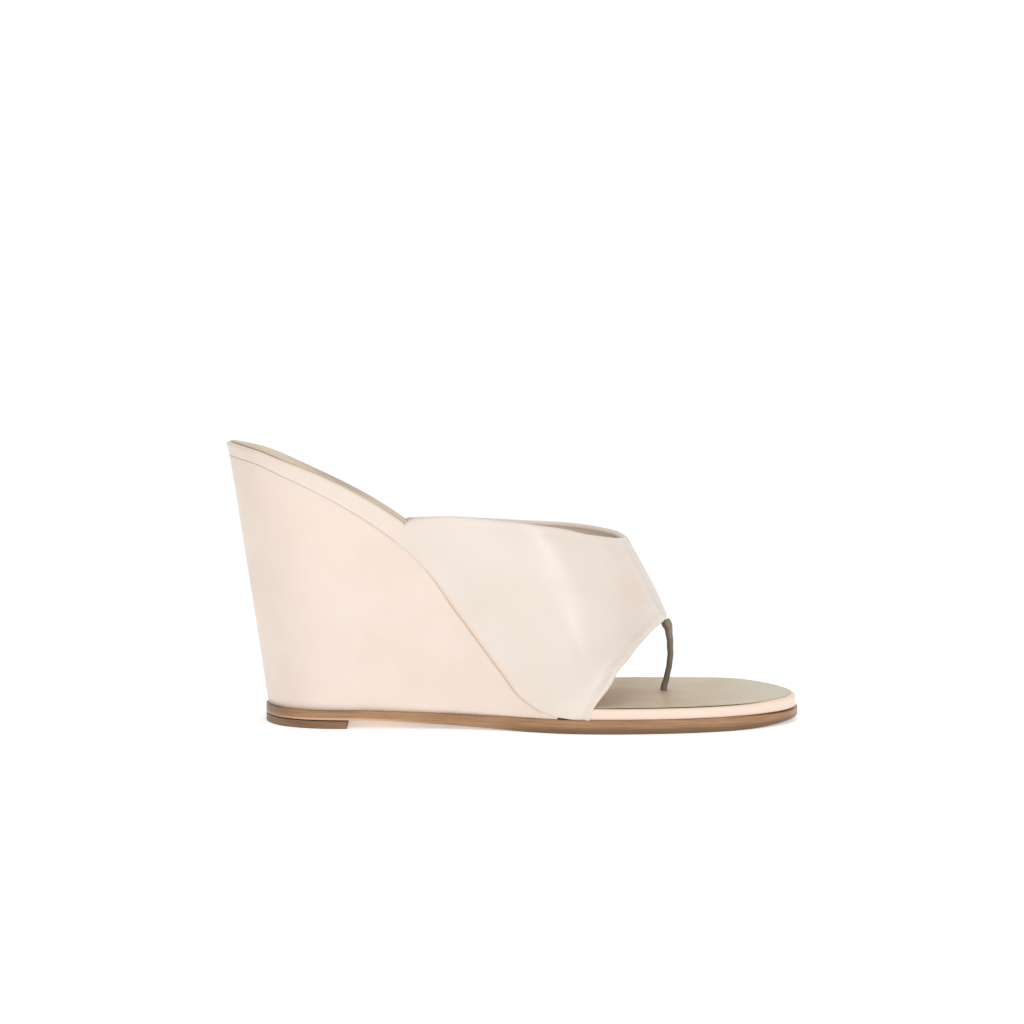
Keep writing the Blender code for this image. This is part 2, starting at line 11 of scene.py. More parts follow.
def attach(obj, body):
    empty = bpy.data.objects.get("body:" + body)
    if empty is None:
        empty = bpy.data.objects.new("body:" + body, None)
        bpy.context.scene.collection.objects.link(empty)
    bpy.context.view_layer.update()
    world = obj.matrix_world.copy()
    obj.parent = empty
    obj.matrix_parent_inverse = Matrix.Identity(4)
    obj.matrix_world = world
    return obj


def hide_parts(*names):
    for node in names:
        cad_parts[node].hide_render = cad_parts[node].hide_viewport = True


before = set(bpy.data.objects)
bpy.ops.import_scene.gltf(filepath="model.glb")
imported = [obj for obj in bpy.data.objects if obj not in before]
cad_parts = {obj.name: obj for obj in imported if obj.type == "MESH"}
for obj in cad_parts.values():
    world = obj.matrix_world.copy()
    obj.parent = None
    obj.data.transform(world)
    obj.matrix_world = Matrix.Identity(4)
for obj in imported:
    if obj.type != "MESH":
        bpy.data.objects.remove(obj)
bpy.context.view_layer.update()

# Named sizes of the shoe, the same as in the solids

SHOE_LENGTH = 0.2082
SEAT_HEIGHT = 0.1010
SEAT_WIDTH = 0.0540
BALL_WIDTH = 0.0765
BACK_LEAN = 0.0150
RIM_LEAN = 0.0010
WEDGE_FOOT_SHARE = 0.92
WEDGE_REACH = 0.1184
OUTSOLE_THICKNESS = 0.0047
OUTSOLE_MARGIN = 0.0007
TOE_SPRING = 0.0020
TOP_LIFT_THICKNESS = 0.0030
TOP_LIFT_LENGTH = 0.0300
FOOTBED_THICKNESS = 0.0040
SEAT_DISH = 0.0008
SOCK_INSET = 0.0016
INSTEP_RISE = 0.0580
STRAP_WALL = 0.0026
STRAP_FULLNESS = 0.0014
HEM_WIDTH = 0.0036
HEM_RAISE = 0.0005
POST_THICKNESS = 0.0026
CLEARANCE = 0.0003
FORE_LEVEL = OUTSOLE_THICKNESS + CLEARANCE + FOOTBED_THICKNESS

# Shares of the shoe's length: where the wedge ends, and where the outline turns round an end

WEDGE_END = WEDGE_REACH / SHOE_LENGTH
END_TURN = 0.13

# Where the middle of the shoe's footprint lies from the back of the heel

MIDDLE = Vector((0.10439933, 0.00022, 0.0))

# Footbed along the shoe: share of the length, share of the drop from heel seat to ball,
# and the footbed's thickness as a multiple of its thickness at the toes

FOOTBED_ROWS = [
    # along, drop, thickness
    (0.000, 1.000, 1.22),
    (0.057, 0.968, 1.21),
    (0.108, 0.920, 1.23),
    (0.175, 0.853, 1.32),
    (0.243, 0.775, 1.46),
    (0.303, 0.690, 1.58),
    (0.359, 0.591, 1.76),
    (0.411, 0.459, 1.88),
    (0.480, 0.252, 1.76),
    (0.518, 0.131, 1.48),
    (0.546, 0.063, 1.32),
    (0.573, 0.023, 1.20),
    (0.602, 0.005, 1.08),
    (0.634, 0.000, 1.00),
    (0.880, 0.000, 1.00),
    (1.000, 0.000, 1.00),
]

# Outline seen from above: share of the length, then the outer (lateral) and inner (medial)
# edges as shares of the width there

OUTLINE_ROWS = [
    # along, lateral, medial
    (0.000, 0.000, 0.000),
    (0.010, -0.180, 0.180),
    (0.038, -0.346, 0.346),
    (0.082, -0.456, 0.456),
    (0.134, -0.500, 0.500),
    (0.216, -0.500, 0.489),
    (0.298, -0.485, 0.463),
    (0.375, -0.487, 0.456),
    (0.451, -0.491, 0.453),
    (0.519, -0.486, 0.454),
    (0.581, -0.491, 0.466),
    (0.648, -0.499, 0.486),
    (0.716, -0.489, 0.501),
    (0.783, -0.462, 0.505),
    (0.850, -0.406, 0.502),
    (0.903, -0.330, 0.484),
    (0.941, -0.250, 0.437),
    (0.973, -0.156, 0.324),
    (0.993, -0.050, 0.186),
    (1.000, 0.065, 0.065),
]

# Outsole along the shoe: share of the length, height of its underside as a share of the
# top lift, and its thickness as a share of the thickness at the ball

OUTSOLE_ROWS = [
    # along, lift, thickness
    (0.000, 1.00, 0.68),
    (0.230, 1.00, 0.68),
    (0.360, 0.60, 0.76),
    (0.447, 0.25, 0.87),
    (0.530, 0.00, 1.00),
    (0.600, 0.00, 1.00),
    (0.870, 0.00, 1.00),
    (1.000, 0.00, 0.52),
]

# How far the wedge's side has come out from its foot to its top edge, by height

WEDGE_SIDE_ROWS = [
    # height, reach
    (0.00, 0.00),
    (0.35, 0.34),
    (0.70, 0.69),
    (0.90, 0.89),
    (1.00, 1.00),
]

# Edges of the strap's outer face and the ridge between its panels. Along is a share of the
# shoe's length, across a share of the ball width, rise a share of the instep rise above the
# footbed

THROAT_LATERAL = [
    # along, across, rise
    (0.302, -0.340, -0.049),
    (0.310, -0.344, 0.020),
    (0.324, -0.352, 0.088),
    (0.348, -0.364, 0.168),
    (0.384, -0.378, 0.305),
    (0.439, -0.383, 0.538),
    (0.519, -0.345, 0.903),
    (0.581, -0.262, 1.044),
    (0.620, -0.190, 1.033),
    (0.655, -0.105, 1.012),
    (0.680, -0.035, 0.998),
]

THROAT_MEDIAL = [
    # along, across, rise
    (0.302, 0.324, -0.049),
    (0.310, 0.328, 0.012),
    (0.324, 0.336, 0.052),
    (0.348, 0.348, 0.124),
    (0.384, 0.362, 0.256),
    (0.439, 0.372, 0.494),
    (0.519, 0.362, 0.877),
    (0.581, 0.320, 1.049),
    (0.622, 0.270, 1.065),
    (0.660, 0.205, 1.049),
    (0.686, 0.135, 1.030),
]

FRONT_LATERAL = [
    # along, across, rise
    (0.628, -0.498, 0.010),
    (0.646, -0.488, 0.100),
    (0.668, -0.442, 0.215),
    (0.689, -0.386, 0.285),
    (0.714, -0.288, 0.370),
    (0.738, -0.157, 0.425),
    (0.755, -0.045, 0.452),
]

FRONT_MEDIAL = [
    # along, across, rise
    (0.620, 0.488, 0.010),
    (0.636, 0.486, 0.105),
    (0.660, 0.467, 0.225),
    (0.688, 0.428, 0.305),
    (0.716, 0.365, 0.385),
    (0.742, 0.275, 0.435),
    (0.763, 0.195, 0.458),
]

RIDGE_ROWS = [
    # along, across, rise
    (0.702, 0.065, 0.995),
    (0.715, 0.070, 0.912),
    (0.733, 0.080, 0.800),
    (0.752, 0.095, 0.680),
    (0.770, 0.110, 0.540),
    (0.776, 0.118, 0.468),
]

# Where the strap starts and ends along its base, and the steps there by which the footbed
# stands in behind it: lean of its top edge, run of a step and distance from the strap's end.
# All are shares of the shoe's length

STRAP_START = 0.294
STRAP_END_LATERAL = 0.620
STRAP_END_MEDIAL = 0.612
NOTCH_LEAN = 0.0110
NOTCH_FORE_LEAN = 0.007
NOTCH_RUN = 0.0016
NOTCH_GAP = -0.0065
NOTCH_FORE_GAP = -0.0060

# Toe post from the strap's tip to its root in the footbed: steps forward as a share of
# the thickness, height as a share of the tip's height over the footbed, width

POST_ROWS = [
    # forward, height, width
    (0.00, 1.00, 1.30),
    (0.28, 0.94, 1.50),
    (0.50, 0.86, 1.15),
    (0.70, 0.72, 0.98),
    (0.78, 0.52, 0.90),
    (0.56, 0.32, 0.86),
    (0.16, 0.15, 0.88),
    (-0.14, 0.02, 1.00),
    (-0.20, -0.09, 1.00),
]

# How far the post runs on below the footbed's top, as a share of the tip's height, and its
# rolled edge, which stands out in a spiral by a share of its radius

POST_FOOT = 0.09
POST_TWIST = 0.045
POST_TWIST_STEP = 0.55

# At the arch the footbed's outer edge stands a little higher than its inner edge, and under
# the toes a little lower

CANT_OUTER = 0.0012
CANT_INNER = -0.0006
TOE_CANT_OUTER = -0.0003
TOE_CANT_INNER = 0.0010
TOE_CANT_TIP = 0.0004

# The strap's lower edge: how far it lies down over the wedge's side, at least and more at the
# arch, the share of this by which it stands out, the share of its full thickness that it is
# pared down to, and the share of its wall by which the footbed stands in behind it

LAP_LEAST = 0.0005
LAP_MORE = 0.0012
LAP_PROUD_SHARE = 0.2
SKIVED_SHARE = 0.4
TUCK_SHARE = 0.45

# Rolls and grooves of the strap's leather beside its edges, a groove with a height below zero

THROAT_TURN_ROWS = [
    # distance from the throat, height, width
    (0.0024, 0.00016, 0.0011),
    (0.0048, -0.00012, 0.0009),
]

PLEAT_ROWS = [
    # distance from the ridge, height, width
    (0.0022, 0.00030, 0.0012),
    (0.0048, -0.00036, 0.0013),
]

HEM_GROOVE_DEPTH = 0.00028
HEM_GROOVE_WIDTH = 0.00055

# Soft folds of the strap's outer panel that run out from its tip: distance from the tip where
# each is deepest, angle from the front edge towards the ridge, depth and width

FOLD_ROWS = [
    # distance, angle, depth, width
    (0.0150, 22.0, 0.00030, 0.0016),
    (0.0130, 48.0, 0.00038, 0.0019),
    (0.0200, 66.0, 0.00022, 0.0017),
]

# Soft crest of the strap's outer panel that runs down to its front corner, as wide as a share
# of the panel's span, and the soft swell in the panel's middle

CREST_ROWS = [
    # from the throat down, from the base up
    (0.000, 0.470),
    (0.560, 0.380),
    (0.726, 0.335),
    (0.863, 0.225),
    (0.924, 0.150),
    (1.000, 0.080),
]

CREST_HEIGHT = 0.0009
CREST_WIDTH_SHARE = 0.11
SWELL_HEIGHT = 0.00035

# Rough length of a panel from its base to the ridge

PANEL_SPAN = 0.055

# Rounding of the edges, and how the layers stand against each other

RIM_ROUND = 0.0011
RIM_FOOT_ROUND = 0.0003
SOCK_ROUND = 0.0003
SOLE_ROUND = 0.0003
OUTSOLE_FOOT_ROUND = 0.0006
LIFT_FOOT_ROUND = 0.0004
LAYER_GAP = 0.00002
OUTSOLE_RAISE = 0.00024
SOCK_PROUD = 0.00035
SOCK_PROUD_MORE = 0.00025

# The wedge's top edge: levels close together under it, its rounding, and how much more it is
# rounded in the deep part of the seam

SEAM_FALLS = (0.0009, 0.0003)
CROWN_ROUND = 0.00012
CROWN_ROUND_MORE = 0.00006

# Steps of the meshes and points of the smooth paths

LENGTH_STEPS = 120
HALF_TURN_STEPS = 18
ACROSS_STEPS = 22
PANEL_STEPS = 96
ROW_STEPS = 64
RIM_STEPS = 7
ROUND_STEPS = 6
SMALL_ROUND_STEPS = 4
SOLE_ROUND_STEPS = 3
WEDGE_STEPS = 90
WEDGE_SIDE_STEPS = 22
LIFT_STEPS = 12
POST_STEPS = 72
POST_SIDES = 28
OUTLINE_POINTS = 400
PATH_POINTS = 241
BASE_STEPS = 24


def eased(rows, column, at):
    """A column of a table at a place along it, on a curve that never overshoots."""
    spans = list(zip(rows, rows[1:]))
    slopes = [(b[column] - a[column]) / (b[0] - a[0]) for a, b in spans]
    tangents = [slopes[0]]
    for before, after in zip(slopes, slopes[1:]):
        level = before * after <= 0
        tangents.append(0.0 if level else 2 * before * after / (before + after))
    tangents.append(slopes[-1])
    at = min(max(at, rows[0][0]), rows[-1][0])
    index = max(i for i, row in enumerate(rows[:-1]) if row[0] <= at)
    here, there = rows[index], rows[index + 1]
    run = there[0] - here[0]
    t = (at - here[0]) / run
    rise = t * t * (3 - 2 * t)
    start = t * (1 - t) * (1 - t) * run * tangents[index]
    end = t * t * (t - 1) * run * tangents[index + 1]
    return here[column] * (1 - rise) + there[column] * rise + start + end


def ramp(value, low, high):
    """A soft step from 0 at low to 1 at high."""
    t = min(max((value - low) / (high - low), 0.0), 1.0)
    return t * t * (3 - 2 * t)


def hump(value, middle, width):
    """A soft bell, 1 at the middle."""
    return math.exp(-(((value - middle) / width) ** 2))


def smooth_path(points, count, turned=False):
    """Points evenly spaced along a smooth curve through the given ones. A turned curve meets
    its mirror image at both ends without a corner."""
    ends = [points[0] * 2 - points[1], *points, points[-1] * 2 - points[-2]]
    if turned:
        ends[0] = Vector((points[1].x, 2 * points[0].y - points[1].y, 0.0))
        ends[-1] = Vector((points[-2].x, 2 * points[-1].y - points[-2].y, 0.0))
    fine = []
    for a, b, c, d in zip(ends, ends[1:], ends[2:], ends[3:]):
        for step in range(16):
            t = step / 16
            bend = (c - a) * t + (a * 2 - b * 5 + c * 4 - d) * t * t
            fine.append(b + (bend + (b * 3 - a - c * 3 + d) * t * t * t) / 2)
    fine.append(points[-1])
    walked = [0.0]
    for a, b in zip(fine, fine[1:]):
        walked.append(walked[-1] + (b - a).length)
    spaced = []
    index = 0
    for step in range(count):
        target = walked[-1] * step / (count - 1)
        while index < len(fine) - 2 and walked[index + 1] < target:
            index += 1
        share = (target - walked[index]) / (walked[index + 1] - walked[index])
        spaced.append(fine[index].lerp(fine[index + 1], min(max(share, 0.0), 1.0)))
    return spaced


def width_at(along):
    """The width that the outline's shares are taken of, from the heel seat's to the ball's."""
    return SEAT_WIDTH + (BALL_WIDTH - SEAT_WIDTH) * ramp(along, 0.38, 0.62)


def outline_paths():
    """The outer and the inner edge from heel to toe, as smooth paths of points."""
    lateral = []
    medial = []
    for along, outer, inner in OUTLINE_ROWS:
        lateral.append(Vector((along, outer * width_at(along) / SHOE_LENGTH, 0.0)))
        medial.append(Vector((along, inner * width_at(along) / SHOE_LENGTH, 0.0)))
    return [smooth_path(edge, OUTLINE_POINTS, turned=True) for edge in (lateral, medial)]


LATERAL_PATH, MEDIAL_PATH = outline_paths()


def edge_at(path, along):
    """Distance of one edge of the outline from the middle line."""
    along = min(max(along, 0.0), 1.0)
    for a, b in zip(path, path[1:]):
        if b.x >= along:
            share = (along - a.x) / max(b.x - a.x, 1e-9)
            return (a.y + (b.y - a.y) * min(max(share, 0.0), 1.0)) * SHOE_LENGTH
    return path[-1].y * SHOE_LENGTH


def path_at(path, index):
    """A point of an edge, mirrored past its ends, where the other edge goes on."""
    last = len(path) - 1
    if 0 <= index <= last:
        return path[index]
    spot = path[-index] if index < 0 else path[2 * last - index]
    end = path[0] if index < 0 else path[last]
    return Vector((spot.x, 2 * end.y - spot.y, 0.0))


def outline_point(path, along, inset):
    """A place on one edge of the outline, moved in towards the middle by the inset."""
    along = min(max(along, 0.0), 1.0)
    index = 0
    while index < len(path) - 2 and path[index + 1].x < along:
        index += 1
    here, there = path[index], path[index + 1]
    share = (along - here.x) / max(there.x - here.x, 1e-9)
    spot = here.lerp(there, min(max(share, 0.0), 1.0)) * SHOE_LENGTH
    heading = (path_at(path, index + 3) - path_at(path, index - 2)).normalized()
    inward = Vector((-heading.y, heading.x, 0.0))
    if path is MEDIAL_PATH:
        inward = -inward
    return spot + inward * inset


def spring(along):
    """How far the toe's tip curves up off the floor."""
    return TOE_SPRING * (max(along - (1 - END_TURN), 0.0) / END_TURN) ** 2


def footbed_top(along):
    """Height of the footbed's top edge over the floor."""
    return FORE_LEVEL + (SEAT_HEIGHT - FORE_LEVEL) * eased(FOOTBED_ROWS, 1, along)


def footbed_under(along):
    """Height of the footbed's under face, its thickness measured square to its slope."""
    step = 0.004
    run = 2 * step * SHOE_LENGTH
    slope = (footbed_top(along + step) - footbed_top(along - step)) / run
    thick = FOOTBED_THICKNESS * eased(FOOTBED_ROWS, 2, along)
    return footbed_top(along) - thick * math.sqrt(1 + slope * slope)


def dish_at(along):
    """Depth of the hollow in the middle of the footbed."""
    return SEAT_DISH * ramp(along, 0.0, 0.09) * (1 - ramp(along, 0.90, 1.0))


def deep_seam(along):
    """1 where the strap tucks into the deep part of the seam under the footbed."""
    return ramp(along, 0.33, 0.39) * (1 - ramp(along, 0.49, 0.56))


def lean_at(along):
    """How far the foot of the heel's rim stands forward of its top."""
    return RIM_LEAN * (1 - ramp(along, 0.0, 0.5))


def lap(along):
    """How far the strap's lower edge lies down over the wedge's side."""
    return LAP_LEAST + LAP_MORE * ramp(along, 0.31, 0.40) * (1 - ramp(along, 0.50, 0.60))


def skive(u):
    """Share of the strap's full thickness, thinner towards its lower edge."""
    return SKIVED_SHARE + (1 - SKIVED_SHARE) * ramp(u, 0.02, 0.16)


def stations(first, last, steps):
    """Places along the shoe, close together where the outline turns round an end."""
    turn = []
    for step in range(HALF_TURN_STEPS):
        turn.append(1 - math.cos(math.pi / 2 * (step + 0.02) / HALF_TURN_STEPS))
    places = []
    if first < END_TURN:
        places += [first + (END_TURN - first) * share for share in turn]
        first = END_TURN
    end = min(last, 1 - END_TURN)
    places += [first + (end - first) * step / steps for step in range(steps + 1)]
    if last > 1 - END_TURN:
        places += [1 - END_TURN * share for share in reversed(turn)]
    return places


# Materials

def node(tree, kind, **values):
    """A new shader node with some of its settings."""
    made = tree.nodes.new(kind)
    for key, value in values.items():
        setattr(made, key, value)
    return made


def noise(tree, place, scale, detail, roughness=0.55):
    """Strength of a cloudy noise at a place."""
    made = node(tree, "ShaderNodeTexNoise")
    made.inputs["Scale"].default_value = scale
    made.inputs["Detail"].default_value = detail
    made.inputs["Roughness"].default_value = roughness
    tree.links.new(place, made.inputs["Vector"])
    return made.outputs["Fac"]


def mixed(tree, share, first, second):
    """Mix of two colours, each a value or a socket, by a socket."""
    made = node(tree, "ShaderNodeMix", data_type="RGBA")
    tree.links.new(share, made.inputs["Factor"])
    for value, socket in ((first, made.inputs["A"]), (second, made.inputs["B"])):
        if isinstance(value, tuple):
            socket.default_value = (*value, 1.0)
        else:
            tree.links.new(value, socket)
    return made.outputs["Result"]


def ranged(tree, value, low, high, to_low=0.0, to_high=1.0):
    """A soft step of a socket's value, from one at low to another at high."""
    made = node(tree, "ShaderNodeMapRange", clamp=True, interpolation_type="SMOOTHSTEP")
    made.inputs["From Min"].default_value = low
    made.inputs["From Max"].default_value = high
    made.inputs["To Min"].default_value = to_low
    made.inputs["To Max"].default_value = to_high
    tree.links.new(value, made.inputs["Value"])
    return made.outputs["Result"]


def bumped(tree, height, strength, distance, under=None):
    """A normal that follows a height, on top of another normal where one is given."""
    made = node(tree, "ShaderNodeBump")
    made.inputs["Strength"].default_value = strength
    made.inputs["Distance"].default_value = distance
    tree.links.new(height, made.inputs["Height"])
    if under is not None:
        tree.links.new(under, made.inputs["Normal"])
    return made.outputs["Normal"]


def srgb(red, green, blue):
    """A colour given as seen, 0 to 255, as the shader's linear one."""
    made = []
    for value in (red, green, blue):
        share = value / 255
        made.append(share / 12.92 if share <= 0.04045 else ((share + 0.055) / 1.055) ** 2.4)
    return tuple(made)


def toned(tree, colour, above, below):
    """The mesh's tone turns the colour towards one when above 0, the other when below. Most
    tones on the pieces are painted light and shade.
    """
    tone = node(tree, "ShaderNodeAttribute", attribute_name="tone").outputs["Fac"]
    colour = mixed(tree, ranged(tree, tone, 0.0, 1.0), colour, above)
    return mixed(tree, ranged(tree, tone, -1.0, 0.0, 1.0, 0.0), colour, below)


def fresh_material(name):
    """A new material with its node tree and its shader."""
    material = bpy.data.materials.new(name)
    material.use_nodes = True
    return material, material.node_tree, material.node_tree.nodes["Principled BSDF"]


def leather(name, light, dark, shade, deep, rough, coat, grain, pores):
    """Smooth leather: mottled colour, pebbled grain and pores in the bump, uneven gloss."""
    material, tree, shader = fresh_material(name)
    place = node(tree, "ShaderNodeTexCoord").outputs["Object"]
    cloud = noise(tree, place, 42.0, 3.0)
    speck = noise(tree, place, 900.0, 2.0)
    colour = mixed(tree, ranged(tree, cloud, 0.35, 0.68), light, dark)
    colour = toned(tree, colour, shade, deep)
    dimmer = mixed(tree, ranged(tree, speck, 0.52, 0.80, 0.0, 0.10), colour, dark)
    tree.links.new(dimmer, shader.inputs["Base Color"])
    wear_and_shadow = ranged(tree, cloud, 0.3, 0.7, rough - 0.04, rough + 0.05)
    tree.links.new(wear_and_shadow, shader.inputs["Roughness"])
    shader.inputs["Coat Weight"].default_value = coat
    shader.inputs["Coat Roughness"].default_value = 0.32
    shader.inputs["Specular IOR Level"].default_value = 0.45
    cells = node(tree, "ShaderNodeTexVoronoi", feature="SMOOTH_F1")
    cells.inputs["Scale"].default_value = grain
    cells.inputs["Smoothness"].default_value = 0.7
    tree.links.new(place, cells.inputs["Vector"])
    pebbles = bumped(tree, cells.outputs["Distance"], pores, 0.00012)
    fine = noise(tree, place, grain * 2.3, 3.0)
    surface = bumped(tree, fine, pores * 0.8, 0.00005, pebbles)
    tree.links.new(surface, shader.inputs["Normal"])
    return material


def sole_edge(name, body, deep, bright, painted_shadow, rough):
    """Burnished sole edge: fine layers along the shoe, painted light where tone is above 0 and
    painted shadow where it is below.
    """
    material, tree, shader = fresh_material(name)
    place = node(tree, "ShaderNodeTexCoord").outputs["Object"]
    mapped = node(tree, "ShaderNodeMapping")
    mapped.inputs["Scale"].default_value = (60.0, 60.0, 1900.0)
    tree.links.new(place, mapped.inputs["Vector"])
    layers = noise(tree, mapped.outputs["Vector"], 1.0, 4.0, 0.6)
    cloud = noise(tree, place, 90.0, 3.0)
    colour = mixed(tree, ranged(tree, layers, 0.38, 0.66), body, deep)
    colour = mixed(tree, ranged(tree, cloud, 0.45, 0.75, 0.0, 0.35), colour, deep)
    colour = toned(tree, colour, bright, painted_shadow)
    tree.links.new(colour, shader.inputs["Base Color"])
    shader.inputs["Roughness"].default_value = rough
    shader.inputs["Coat Weight"].default_value = 0.12
    tree.links.new(bumped(tree, layers, 0.35, 0.0001), shader.inputs["Normal"])
    return material


# Making pieces

def piece(name, points, faces, tones, material, slot, *nodes):
    """A smooth mesh that stands for CAD nodes, with a tone at each point."""
    mesh = bpy.data.meshes.new(name)
    mesh.from_pydata([point - MIDDLE for point in points], [], faces)
    layer = mesh.attributes.new("tone", "FLOAT", "POINT")
    for index, tone in enumerate(tones):
        layer.data[index].value = tone
    made = bpy.data.objects.new(name, mesh)
    bpy.context.scene.collection.objects.link(made)
    mesh.materials.append(material)
    weld(mesh)
    for polygon in mesh.polygons:
        polygon.use_smooth = True
    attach(made, "root")
    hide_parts(*nodes)
    return made


def weld(mesh):
    """Joins points that lie together and turns every face outwards."""
    bm = bmesh.new()
    bm.from_mesh(mesh)
    bmesh.ops.remove_doubles(bm, verts=bm.verts, dist=0.000002)
    bmesh.ops.dissolve_degenerate(bm, edges=bm.edges, dist=0.000001)
    bmesh.ops.recalc_face_normals(bm, faces=bm.faces)
    bm.to_mesh(mesh)
    bm.free()


def tube_piece(name, rings, tones, material, slot, *nodes):
    """A piece made of rings of points along it, closed at both ends."""
    points = [point for ring in rings for point in ring]
    sides = len(rings[0])
    faces = []
    for row in range(len(rings) - 1):
        for k in range(sides):
            a = row * sides + k
            b = row * sides + (k + 1) % sides
            faces.append((a, b, b + sides, a + sides))
    faces.append(tuple(reversed(range(sides))))
    last = len(points) - sides
    faces.append(tuple(range(last, last + sides)))
    return piece(name, points, faces, tones, material, slot, *nodes)


def quarter_round(radius, steps):
    """Inset and drop along a rounded edge, from the wall up to the face."""
    turn = []
    for step in range(steps + 1):
        angle = math.pi / 2 * step / steps
        turn.append((radius * (1 - math.cos(angle)), radius * (1 - math.sin(angle))))
    return turn


# Strap

def rise_point(row):
    """A row of the strap's tables as a place: its rise is measured from the footbed's top."""
    along, across, rise = row
    height = footbed_top(along) + rise * INSTEP_RISE
    return Vector((along * SHOE_LENGTH, across * BALL_WIDTH, height))


def base_point(path, along):
    """A place on the strap's lower edge."""
    edge = edge_at(path, along)
    proud = math.copysign(LAP_PROUD_SHARE * lap(along), edge)
    return Vector((along * SHOE_LENGTH, edge + proud, footbed_under(along) - lap(along)))


def along_path(path, share):
    """The point at a share of the way along evenly spaced points."""
    place = share * (len(path) - 1)
    index = min(int(place), len(path) - 2)
    return path[index].lerp(path[index + 1], place - index)


def panel_grid(path, throat, front, end, outer):
    """One panel's outer face, a rim's radius inside its four edges. Each point comes with its
    facts: shares of the way up from the base and along from the throat, distances from the
    front edge, the ridge and the throat, and whether it is on the outer panel."""
    run = end - STRAP_START
    steps = [STRAP_START + run * step / BASE_STEPS for step in range(BASE_STEPS + 1)]
    base = smooth_path([base_point(path, along) for along in steps], PATH_POINTS)
    ridge = smooth_path([rise_point(row) for row in RIDGE_ROWS], PATH_POINTS)
    high = smooth_path([base[0], *[rise_point(row) for row in throat], ridge[0]], PATH_POINTS)
    low = smooth_path([base[-1], *[rise_point(row) for row in front], ridge[-1]], PATH_POINTS)
    corners = (base[0], base[-1], ridge[0], ridge[-1])
    radius = STRAP_WALL / 2
    start = radius * skive(0.0) / PANEL_SPAN
    grid = []
    for column in range(PANEL_STEPS + 1):
        u = start + (1 - start) * column / PANEL_STEPS
        reach = (along_path(high, u) - along_path(low, u)).length
        inset = min(radius * skive(u) / reach, 0.2)
        line = []
        for row in range(ROW_STEPS + 1):
            w = inset + (1 - 2 * inset) * row / ROW_STEPS
            across = along_path(base, w) * (1 - u) + along_path(ridge, w) * u
            down = along_path(high, u) * (1 - w) + along_path(low, u) * w
            near = corners[0] * (1 - w) + corners[1] * w
            far = corners[2] * (1 - w) + corners[3] * w
            spot = across + down - near * (1 - u) - far * u
            full = math.sin(math.pi * u**0.6) * (1 - (2 * w - 1) ** 4)
            spot.y += math.copysign(STRAP_FULLNESS, base[0].y) * full
            facts = (u, w, (1 - w) * reach, (1 - u) * PANEL_SPAN, w * reach, outer)
            line.append((spot, facts))
        grid.append(line)
    return grid


def relief(facts):
    """How far the leather stands out at a place: hem, turned throat edge, pleats by the ridge."""
    u, w, from_front, from_ridge, from_throat, outer = facts
    wide = HEM_WIDTH * (0.45 + 0.55 * ramp(u, 0.05, 0.45))
    middle = (from_front / wide - 0.45) / 0.55
    roll = HEM_RAISE * max(1 - middle * middle, 0.0) ** 0.6
    groove = HEM_GROOVE_DEPTH * hump(from_front, wide * 1.08, HEM_GROOVE_WIDTH)
    out = roll * (1 - 0.6 * ramp(u, 0.90, 1.0)) - groove * (1 - ramp(u, 0.88, 0.97))
    for distance, height, width in THROAT_TURN_ROWS:
        out += height * hump(from_throat, distance, width)
    pleated = ramp(w, 0.02, 0.35) * (1 - ramp(w, 0.90, 1.0))
    for distance, height, width in PLEAT_ROWS:
        out += height * hump(from_ridge, distance, width) * pleated
    if outer:
        out += outer_relief(u, w, from_front, from_ridge)
    return out


def outer_relief(u, w, from_front, from_ridge):
    """Soft folds, swell and crest that only the outer panel has."""
    out = SWELL_HEIGHT * hump(u, 0.45, 0.16) * hump(w, 0.55, 0.30)
    distance = math.hypot(from_front, from_ridge)
    angle = math.degrees(math.atan2(from_front, max(from_ridge, 1e-6)))
    for far, way, depth, width in FOLD_ROWS:
        off = math.radians(angle - way) * distance
        out -= depth * hump(off, 0.0, width) * hump(distance, far, far * 0.62)
    crest = CREST_HEIGHT * hump(u, eased(CREST_ROWS, 1, w), CREST_WIDTH_SHARE)
    return out + crest * ramp(w, 0.50, 0.78) * (1 - ramp(w, 0.92, 0.98))


def strap_piece(material):
    points, faces, tones = strap_shell(*strap_sheet())
    made = piece("strap", points, faces, tones, material, "strap_leather", "upper")
    return made


def strap_sheet():
    """Points of the strap's outer face, both panels joined at the ridge, and their facts."""
    outer = panel_grid(
        LATERAL_PATH, THROAT_LATERAL, FRONT_LATERAL, STRAP_END_LATERAL, outer=True
    )
    inner = panel_grid(
        MEDIAL_PATH, THROAT_MEDIAL, FRONT_MEDIAL, STRAP_END_MEDIAL, outer=False
    )
    grid = outer + list(reversed(inner))[1:]
    spots = [[spot for spot, known in line] for line in grid]
    facts = [[known for spot, known in line] for line in grid]
    soften_ridge(spots)
    for line, outs, known in zip(spots, grid_normals(spots), facts):
        for index, out in enumerate(outs):
            line[index] = line[index] + out * relief(known[index])
    return spots, facts


def rim_step(step, count):
    """The line of the grid nearest to a step across it and its rims, and the angle round the
    rim, which is 0 on the grid itself."""
    inside = step - RIM_STEPS
    line = min(max(inside, 0), count - 1)
    return line, math.pi / 2 * (inside - line) / RIM_STEPS


